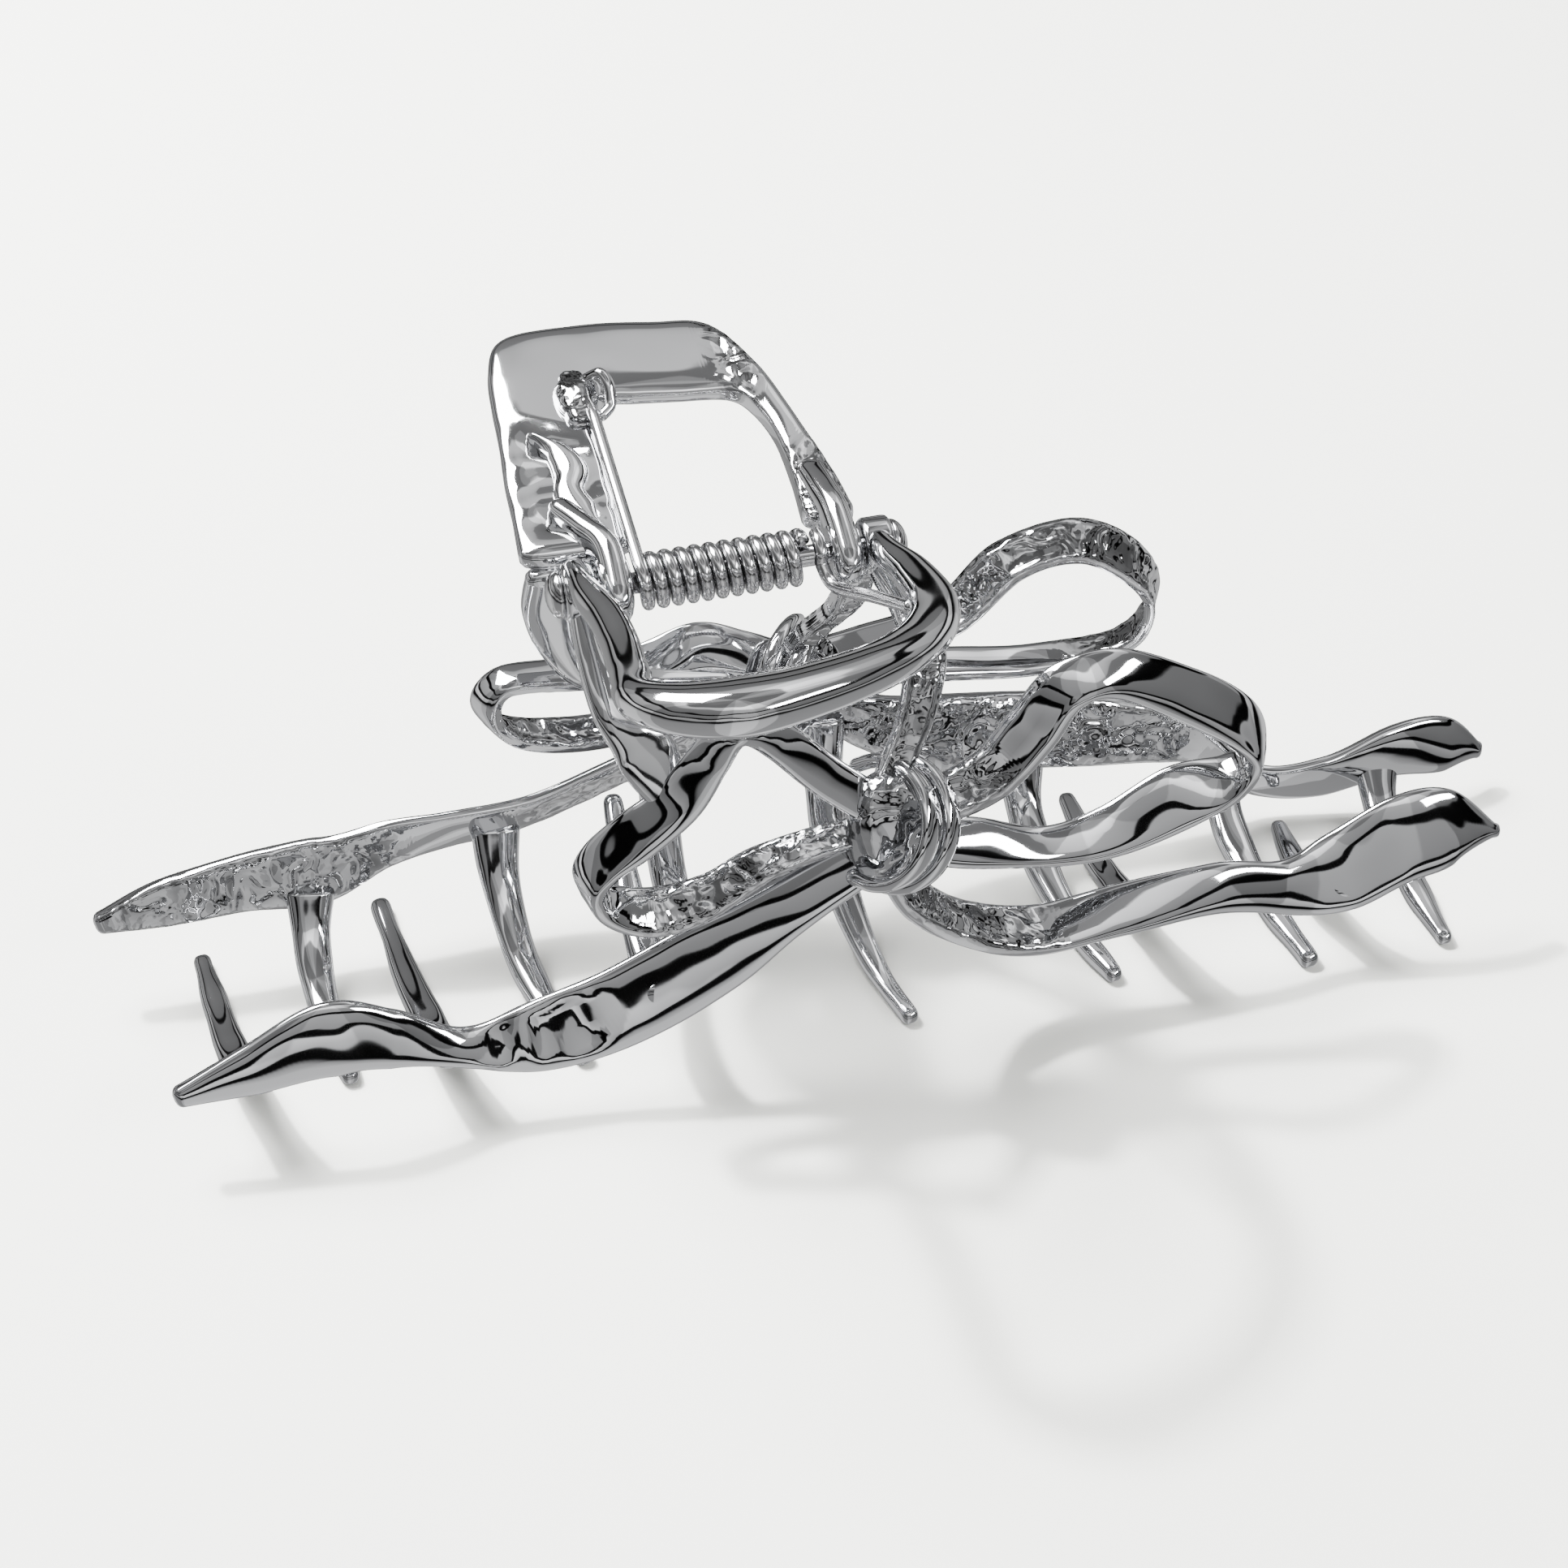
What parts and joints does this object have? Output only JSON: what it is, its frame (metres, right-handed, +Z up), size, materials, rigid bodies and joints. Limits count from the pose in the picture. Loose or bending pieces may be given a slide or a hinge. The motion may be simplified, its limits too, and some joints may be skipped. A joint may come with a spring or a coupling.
{
  "type": "claw hair clip",
  "caption": "Chromed cast-metal claw hair clip whose halves are bow-shaped ribbons with loops, tails and curved prongs, sprung shut on a hinge pin below two squeeze handles.",
  "frame": {"origin": "centre of the bounding box's bottom face, on the surface that the prong tips stand on, clip closed", "axes": "+X along the hinge pin towards the right-hand bow loops, +Y from the front half towards the rear half, +Z up from the prong tips to the handles"},
  "size_m": [0.123, 0.0586, 0.0506],
  "materials": {
    "ribbon_chrome": "mirror plating over rippled casting",
    "handle_chrome": "mirror plating",
    "prong_chrome": "mirror plating",
    "spring_wire": "plated spring wire",
    "pin_steel": "plated pin"
  },
  "bodies": {
    "rear_half": {"hinge_pin": "pin_steel", "rear_handle": "handle_chrome", "rear_knot": "ribbon_chrome", "rear_left_ear": "handle_chrome", "rear_left_leg": "handle_chrome", "rear_left_loop": "ribbon_chrome", "rear_left_tail": "ribbon_chrome", "rear_prong_1": "prong_chrome", "rear_prong_2": "prong_chrome", "rear_prong_3": "prong_chrome", "rear_prong_4": "prong_chrome", "rear_prong_5": "prong_chrome", "rear_prong_6": "prong_chrome", "rear_prong_7": "prong_chrome", "rear_right_ear": "handle_chrome", "rear_right_leg": "handle_chrome", "rear_right_loop": "ribbon_chrome", "rear_right_tail": "ribbon_chrome", "torsion_spring": "spring_wire", "wire_boss": "handle_chrome"},
    "front_half": {"front_handle": "handle_chrome", "front_knot": "ribbon_chrome", "front_left_ear": "handle_chrome", "front_left_leg": "handle_chrome", "front_left_loop": "ribbon_chrome", "front_left_tail": "ribbon_chrome", "front_prong_1": "prong_chrome", "front_prong_2": "prong_chrome", "front_prong_3": "prong_chrome", "front_prong_4": "prong_chrome", "front_prong_5": "prong_chrome", "front_right_ear": "handle_chrome", "front_right_leg": "handle_chrome", "front_right_loop": "ribbon_chrome", "front_right_tail": "ribbon_chrome", "spring_front_leg": "spring_wire"}
  },
  "joints": [
    {"name": "jaw_hinge", "type": "hinge", "parent": "rear_half", "child": "front_half", "pos_m": [-0.0104, 0.00086, 0.041], "axis": [-1, 0, 0], "range_deg": [0, 65], "stiffness_Nm_per_rad": 0.12, "springref_deg": -60.16}
  ]
}
